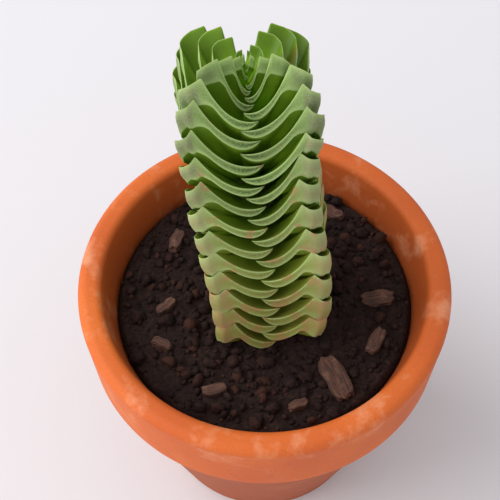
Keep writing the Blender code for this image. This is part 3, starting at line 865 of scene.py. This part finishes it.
# %% Leaf skin: tone, gloss and warts
# Each leaf is a little lighter or darker than its neighbours. A little light enters the flesh
lightness = add(skin, "MapRange", {"Value": mark["tone"], "To Min": 0.88, "To Max": 1.1})
toned = add(skin, "HueSaturation", {"Color": edged_and_highlighted, "Value": lightness})
matt = add(skin, "MapRange", {"Value": mark["band"], "To Min": 0.42, "To Max": 0.68})
wart_height = add(skin, "MapRange", {"Value": warts, "From Min": 0.6, "From Max": 0.0})
rough_share = add(skin, "MapRange", {"Value": mark["band"], "To Min": 0.25, "To Max": 1.0})
bumps = add(skin, "Math", {0: wart_height, 1: rough_share}, operation="MULTIPLY")
relief = add(skin, "Bump", {"Height": bumps, "Strength": 0.4, "Distance": 0.08 * MM})
feed(skin, shader, {
    "Base Color": toned, "Roughness": matt, "Normal": relief, "Specular IOR Level": 0.3,
    "Subsurface Weight": 0.22, "Subsurface Radius": (0.6, 1.0, 0.2),
    "Subsurface Scale": 1.8 * MM})
column.data.materials.append(skin)
print("leaf skin:", len(skin.node_tree.nodes), "nodes")

# %% [markdown]
# ### The stem's bark
# A young crassula's stem is pale green-brown and slightly ringed where old leaves were.

# %% Stem finish
stem_skin, shader = new_finish("stem_skin", 0.7, 1.45)
where = add(stem_skin, "TexCoord", {}).outputs["Object"]
rings = add(stem_skin, "TexNoise", {"Vector": where, "Scale": 1 / (1.5 * MM), "Detail": 4.0})
stem_colour = add(stem_skin, "Mix", {
    0: rings, FIRST: "#5c7a1c", SECOND: "#6c7230"}, data_type="RGBA")
relief = add(stem_skin, "Bump", {"Height": rings, "Strength": 0.5, "Distance": 0.1 * MM})
feed(stem_skin, shader, {"Base Color": stem_colour, "Normal": relief})
stem.data.materials.append(stem_skin)
print("stem finish ready")

# %% [markdown]
# ## The soil
# Potting soil is a heap of crumbs of every size. The body is a solid drawn up in rings, whose top
# is moved up and down by noise at three sizes: clods, lumps and grains. Loose crumbs then go on
# top. Modelling each crumb by itself would take thousands of shapes, so a few are modelled once
# and copied at random turns and sizes.

# %% The surface of the soil
CLOD_HEIGHT, CLOD_SPACING, FINER = 0.0011, 0.0075, 0.4
FINER_SHIFT = 0.05
LUMP_HEIGHT, LUMP_SPACING, LUMP_LAYER = 0.0005, 0.0021, 0.3
GRAIN_HEIGHT, GRAIN_SPACING, GRAIN_LAYER = 0.00022, 0.0009, 0.7
STEM_AT = axis_point(0.0)
DIP_RADIUS, DIP_FLOOR_RADIUS, DIP_DEPTH = 0.0095, 0.004, 0.006


def clods(x, y):
    """The lumpy surface of the solid."""
    coarse = noise.noise(Vector((x, y, 0.0)) / CLOD_SPACING)
    fine = noise.noise(Vector((x + FINER_SHIFT, y, 0.0)) / (FINER * CLOD_SPACING))
    return SOIL_LEVEL + CLOD_HEIGHT * (coarse + FINER * fine)


def soil_height(x, y):
    """The solid's surface with finer lumps and grains, and a dip round the stem."""
    lumps = noise.noise(Vector((x, y, LUMP_LAYER)) / LUMP_SPACING)
    grains = noise.noise(Vector((x, y, GRAIN_LAYER)) / GRAIN_SPACING)
    near = 1.0 - between(math.hypot(x - STEM_AT.x, y - STEM_AT.y), DIP_FLOOR_RADIUS, DIP_RADIUS)
    return clods(x, y) + LUMP_HEIGHT * lumps + GRAIN_HEIGHT * grains - DIP_DEPTH * near


print("the dip round the stem, in mm:", round((soil_height(*STEM_AT.xy) - SOIL_LEVEL) * 1000, 1))

# %% The body of the soil
SOIL_SIDES, SOIL_RINGS = 220, 62
SOIL_EDGE_DIP, EDGE_EASE = 0.002, 0.0015
GAP, CENTRE_RADIUS = 0.0003, 0.0006

low_wall = FLOOR_THICKNESS + FLOOR_CORNER
edge_level = SOIL_LEVEL - SOIL_EDGE_DIP
wall_share = (edge_level - low_wall) / (SOIL_LEVEL - low_wall)
soil_radius = INNER_FLOOR_RADIUS + (INNER_TOP_RADIUS - INNER_FLOOR_RADIUS) * wall_share - GAP
floor_level = FLOOR_THICKNESS + GAP
profile = [(INNER_FLOOR_RADIUS - FLOOR_CORNER - GAP, floor_level)]
profile += line(profile[-1], (INNER_FLOOR_RADIUS - GAP, floor_level + FLOOR_CORNER), 1)
profile += line(profile[-1], (soil_radius, edge_level), 4)
profile += line(profile[-1], (CENTRE_RADIUS, edge_level), SOIL_RINGS)
soil = draw_rings("soil_heap", profile, SOIL_SIDES)
bpy.ops.mesh.merge(type="CENTER")
bpy.ops.mesh.select_all(action="SELECT")
bpy.ops.mesh.fill_holes(sides=0)
face_outward()
for vertex in soil.data.vertices:
    radius = math.hypot(vertex.co.x, vertex.co.y)
    if vertex.co.z > edge_level - GAP and radius < soil_radius - GAP:
        share = between(radius, soil_radius, soil_radius - EDGE_EASE)
        vertex.co.z += (soil_height(vertex.co.x, vertex.co.y) - vertex.co.z) * share
smooth(soil)
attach(soil, "root")
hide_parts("soil")
print("soil:", len(soil.data.polygons), "faces")

# %% [markdown]
# ### Loose crumbs
# A crumb starts as a cube that is cut once and pushed about until nothing of the cube is left.
# Small crumbs are far more common than large ones. They keep clear of the stem and of the places
# where the chips of bark will lie.

# %% Model a crumb
CRUMB_SIDE, CRUMB_ROUNDNESS, CRUMB_FLATNESS = 1.2, 0.8, (0.65, 0.95)
DENT_DEPTH, DENTS_ACROSS, DENT_SHIFT = 0.55, 1.6, 7.3


def model_crumb(number, draw):
    """A crumb about one metre across, which is made small when it is strewn."""
    select_none()
    bpy.ops.mesh.primitive_cube_add(size=CRUMB_SIDE)
    crumb = bpy.context.object
    edit_all()
    bpy.ops.mesh.subdivide(number_cuts=1)
    bpy.ops.transform.tosphere(value=CRUMB_ROUNDNESS)
    bpy.ops.object.mode_set(mode="OBJECT")
    for vertex in crumb.data.vertices:
        push = noise.noise(vertex.co * DENTS_ACROSS + Vector((number * DENT_SHIFT, 0.0, 0.0)))
        vertex.co *= 1.0 + DENT_DEPTH * push
        vertex.co.z *= draw.uniform(*CRUMB_FLATNESS)
    bpy.ops.object.shade_smooth()
    return crumb


CRUMB_KINDS = 6
draw = random.Random(4)
kinds = [model_crumb(number, draw) for number in range(CRUMB_KINDS)]
print("kinds of crumb:", len(kinds), "of", len(kinds[0].data.polygons), "faces")

# %% Where the chips of bark lie
# Each row is a place in millimetres, a length in millimetres and a turn in degrees
BARK_CHIPS = [
    (21.0, -26.5, 15.0, -62.0),
    (33.0, -14.5, 9.0, 60.0),
    (34.0, 0.5, 10.5, 8.0),
    (10.0, -35.5, 6.0, 25.0),
    (-29.5, -3.5, 7.0, 40.0),
    (-30.0, -16.5, 6.5, -20.0),
    (-14.0, -31.0, 7.5, 15.0),
    (-27.5, 19.5, 8.0, 75.0),
    (21.0, 31.0, 8.0, -35.0),
]
CHIP_WIDTH_SHARE = 0.45


def clear_of_chips(x, y, margin):
    """Whether a place is further than the margin from every chip."""
    for chip_x, chip_y, length, turn in BARK_CHIPS:
        away = Vector((x - chip_x * MM, y - chip_y * MM))
        angle = math.radians(-turn)
        run = abs(away.x * math.cos(angle) - away.y * math.sin(angle))
        side = abs(away.x * math.sin(angle) + away.y * math.cos(angle))
        half = 0.5 * length * MM
        if run < half + margin and side < half * CHIP_WIDTH_SHARE + margin:
            return False
    return True


print("chips of bark:", len(BARK_CHIPS))

# %% Strew the crumbs
CRUMBS = 950
SMALLEST_CRUMB, CRUMB_RANGE, CRUMB_BIAS = 0.0007, 0.0024, 3.2
WALL_MARGIN, CHIP_MARGIN, CRUMB_RAISED, SLIMNESS = 0.0004, 0.4, 0.15, (0.6, 1.0)

crumbs = []
while len(crumbs) < CRUMBS:
    size = SMALLEST_CRUMB + CRUMB_RANGE * draw.random() ** CRUMB_BIAS
    radius = (soil_radius - 0.5 * size - WALL_MARGIN) * math.sqrt(draw.random())
    angle = draw.uniform(0.0, math.tau)
    x, y = radius * math.cos(angle), radius * math.sin(angle)
    if not clear_of_chips(x, y, CHIP_MARGIN * size):
        continue
    if math.hypot(x - STEM_AT.x, y - STEM_AT.y) < DIP_RADIUS + size:
        continue
    crumb = draw.choice(kinds).copy()
    crumb.data = crumb.data.copy()
    crumb.location = (x, y, soil_height(x, y) + CRUMB_RAISED * size)
    crumb.rotation_euler = [draw.uniform(0.0, math.tau) for _ in range(3)]
    crumb.scale = Vector((1.0, draw.uniform(*SLIMNESS), draw.uniform(*SLIMNESS))) * size
    tones = crumb.data.attributes.new("tone", "FLOAT", "POINT")
    tone = draw.random()
    for item in tones.data:
        item.value = tone
    bpy.context.scene.collection.objects.link(crumb)
    crumbs.append(crumb)
for kind in kinds:
    bpy.data.objects.remove(kind, do_unlink=True)
crumb_heap = join_all(crumbs, "soil_crumbs")
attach(crumb_heap, "root")
print("crumbs:", len(crumbs), "with", len(crumb_heap.data.polygons), "faces")

# %% [markdown]
# ### Potting soil
# Peat and rotted bark are nearly black when moist. Single crumbs are browner or greyer, and only
# their tops catch some light, so the finish is rough, dark and varied from crumb to crumb.

# %% Soil finish
earth, shader = new_finish("potting_soil", 0.9, 1.45)
where = add(earth, "TexCoord", {}).outputs["Object"]
fibre = add(earth, "TexNoise", {"Vector": where, "Scale": 1 / (1.1 * MM), "Detail": 6.0})
lump = add(earth, "TexNoise", {"Vector": where, "Scale": 1 / (7 * MM), "Detail": 3.0})
tone = add(earth, "Attribute", {}, attribute_name="tone").outputs["Fac"]
dark_share = add(earth, "MapRange", {"Value": fibre, "From Min": 0.35, "From Max": 0.7})
peat = add(earth, "Mix", {0: dark_share, FIRST: "#1c1110", SECOND: "#35221d"}, data_type="RGBA")
brown_share = add(earth, "MapRange", {"Value": tone, "From Min": 0.72, "From Max": 1.0})
brown = add(earth, "Mix", {0: brown_share, FIRST: peat, SECOND: "#46291f"}, data_type="RGBA")
wet_share = add(earth, "MapRange", {
    "Value": lump, "From Min": 0.45, "From Max": 0.65, "To Max": 0.5})
wet = add(earth, "Mix", {0: wet_share, FIRST: brown, SECOND: "#1a100e"}, data_type="RGBA")
relief = add(earth, "Bump", {"Height": fibre, "Strength": 0.8, "Distance": 0.4 * MM})
feed(earth, shader, {"Base Color": wet, "Normal": relief, "Specular IOR Level": 0.25})
for piece in (soil, crumb_heap):
    piece.data.materials.append(earth)
print("soil finish:", len(earth.node_tree.nodes), "nodes")

# %% [markdown]
# ## The bark chips
# Composted bark breaks along its fibres: long sides with grooves, short ends that are splintered.
# A cube is stretched and cut into a fine grid. Its ends are moved in and out along the fibres,
# its long corners are worn round, and fine grooves run from end to end.

# %% Carve the chips
CHIP_THICKNESS, CHIP_SUNK, CHIP_TILT = 0.0032, 0.0008, math.radians(4.0)
CHIP_CUTS, CORNER_POWER = 14, 6
NARROWER_ENDS, WAVINESS, WAVE_TURNS = 0.38, 0.0005, 1.5
SPLINTER_SHARE, SPLINTER_START, SPLINTER_SPACING = 0.16, 0.6, 0.0011
GROOVE_LENGTH, GROOVE_WIDTH, TOP_GROOVE, SIDE_GROOVE = 0.006, 0.0007, 0.00028, 0.00022
NOISE_SHIFT, PATTERN_SHIFT = 3.7, 0.1


def carve_chip(number, chip):
    """Carve one chip from its row of numbers, and lay it on the soil."""
    x, y, length, turn = chip
    x, y, length = x * MM, y * MM, length * MM
    half = Vector((length, length * CHIP_WIDTH_SHARE, CHIP_THICKNESS)) * 0.5
    select_none()
    bpy.ops.mesh.primitive_cube_add(size=2.0)
    piece = bpy.context.object
    piece.name = piece.data.name = f"chip_{number}"
    edit_all()
    bpy.ops.mesh.subdivide(number_cuts=CHIP_CUTS)
    bpy.ops.object.mode_set(mode="OBJECT")
    grain = piece.data.attributes.new("grain", "FLOAT_VECTOR", "POINT")
    own = Vector((number * NOISE_SHIFT, 0.0, 0.0))
    for index, vertex in enumerate(piece.data.vertices):
        run, side, up = vertex.co
        place = Vector((run * half.x, side * half.y, up * half.z))
        grain.data[index].vector = place + Vector((PATTERN_SHIFT * number, 0.0, 0.0))
        corner = (abs(side) ** CORNER_POWER + abs(up) ** CORNER_POWER) ** (1.0 / CORNER_POWER)
        place.y /= max(1.0, corner)
        place.z /= max(1.0, corner)
        wave = noise.noise(own + Vector((run * WAVE_TURNS, 0.0, 0.0)))
        place.y = place.y * (1.0 - NARROWER_ENDS * abs(run) ** 3) + WAVINESS * wave
        splinter = noise.noise(own + Vector((0.0, place.y, place.z)) / SPLINTER_SPACING)
        place.x *= 1.0 - SPLINTER_SHARE * abs(run) * (SPLINTER_START + splinter)
        groove = noise.noise(own + Vector((
            place.x / GROOVE_LENGTH, place.y / GROOVE_WIDTH, place.z / GROOVE_WIDTH)))
        place.z += math.copysign(TOP_GROOVE, up) * groove
        place.y += math.copysign(SIDE_GROOVE, side) * groove
        vertex.co = place
    # Its turn in degrees, taken as radians, gives each chip a tilt of its own
    piece.rotation_euler = (
        CHIP_TILT * math.sin(turn), CHIP_TILT * math.cos(turn), math.radians(turn))
    piece.location = (x, y, clods(x, y) + 0.5 * CHIP_THICKNESS - CHIP_SUNK)
    bpy.ops.object.transform_apply(location=True, rotation=True, scale=True)
    bpy.ops.object.shade_smooth()
    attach(piece, "root")
    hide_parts(f"bark_chip_{number}")
    return piece


chips = [carve_chip(number, chip) for number, chip in enumerate(BARK_CHIPS, start=1)]
print("chips:", len(chips), "with", sum(len(chip.data.polygons) for chip in chips), "faces")

# %% [markdown]
# ### Bark
# The fibres are drawn by a noise that is stretched ten times along the chip, from the coordinates
# that were kept before the chip was turned. Chips are reddish brown, paler on broken fibres.

# %% Bark finish
bark, shader = new_finish("pine_bark", 0.85, 1.5)
grain = add(bark, "Attribute", {}, attribute_name="grain").outputs["Vector"]
stretched = add(bark, "Mapping", {
    "Vector": grain, "Scale": (1 / (5 * MM), 1 / (0.5 * MM), 1 / (0.5 * MM))})
fibres = add(bark, "TexNoise", {"Vector": stretched, "Scale": 1.0, "Detail": 5.0})
patch = add(bark, "TexNoise", {"Vector": grain, "Scale": 1 / (3 * MM), "Detail": 3.0})
fibre_share = add(bark, "MapRange", {"Value": fibres, "From Min": 0.35, "From Max": 0.65})
woody = add(bark, "Mix", {0: fibre_share, FIRST: "#352018", SECOND: "#634032"}, data_type="RGBA")
pale_share = add(bark, "MapRange", {
    "Value": patch, "From Min": 0.55, "From Max": 0.75, "To Max": 0.6})
pale = add(bark, "Mix", {0: pale_share, FIRST: woody, SECOND: "#84604f"}, data_type="RGBA")
relief = add(bark, "Bump", {"Height": fibres, "Strength": 0.7, "Distance": 0.25 * MM})
feed(bark, shader, {"Base Color": pale, "Normal": relief})
for chip in chips:
    chip.data.materials.append(bark)
print("bark:", len(bark.node_tree.nodes), "nodes")

# %% [markdown]
# ## Floor and light
# The pot stands on a plain pale floor. One large lamp at the upper left stands for a window and
# gives the soft light, a small weak one at the front left opens the shade on the near side, and a
# pale sky does the rest.

# %% Lay the floor
select_none()
bpy.ops.mesh.primitive_plane_add(size=6.0)
floor = bpy.context.object
floor.name = "floor"
paper, shader = new_finish("pale_floor", 0.8, 1.45)
feed(paper, shader, {"Base Color": "#e2e0e3"})
floor.data.materials.append(paper)
print("floor:", round(floor.dimensions.x, 1), "m wide")

# %% Hang the lamps
# Each lamp has a name, a place, a width, a power in watts and a colour
LAMPS = (
    ("window", Vector((-2.2, 0.1, 2.3)), 3.2, 88.0, "#ffffff"),
    ("fill", Vector((-1.0, -1.3, 0.6)), 1.2, 4.5, "#fffaf4"),
)
AIM = Vector((0.0, 0.0, 0.11))

for name, place, width, power, colour in LAMPS:
    lamp = bpy.data.lights.new(name, "AREA")
    lamp.size, lamp.energy, lamp.color = width, power, linear(colour)[:3]
    holder = bpy.data.objects.new(name, lamp)
    bpy.context.scene.collection.objects.link(holder)
    holder.location = place
    holder.rotation_euler = (AIM - place).to_track_quat("-Z", "Y").to_euler()
world = bpy.data.worlds.new("studio")
world.use_nodes = True
feed(world, world.node_tree.nodes["Background"], {"Color": "#f4f5f8", "Strength": 0.70})
bpy.context.scene.world = world
bpy.context.scene.view_settings.view_transform = "Standard"
print("lamps:", [item.name for item in bpy.data.lights])
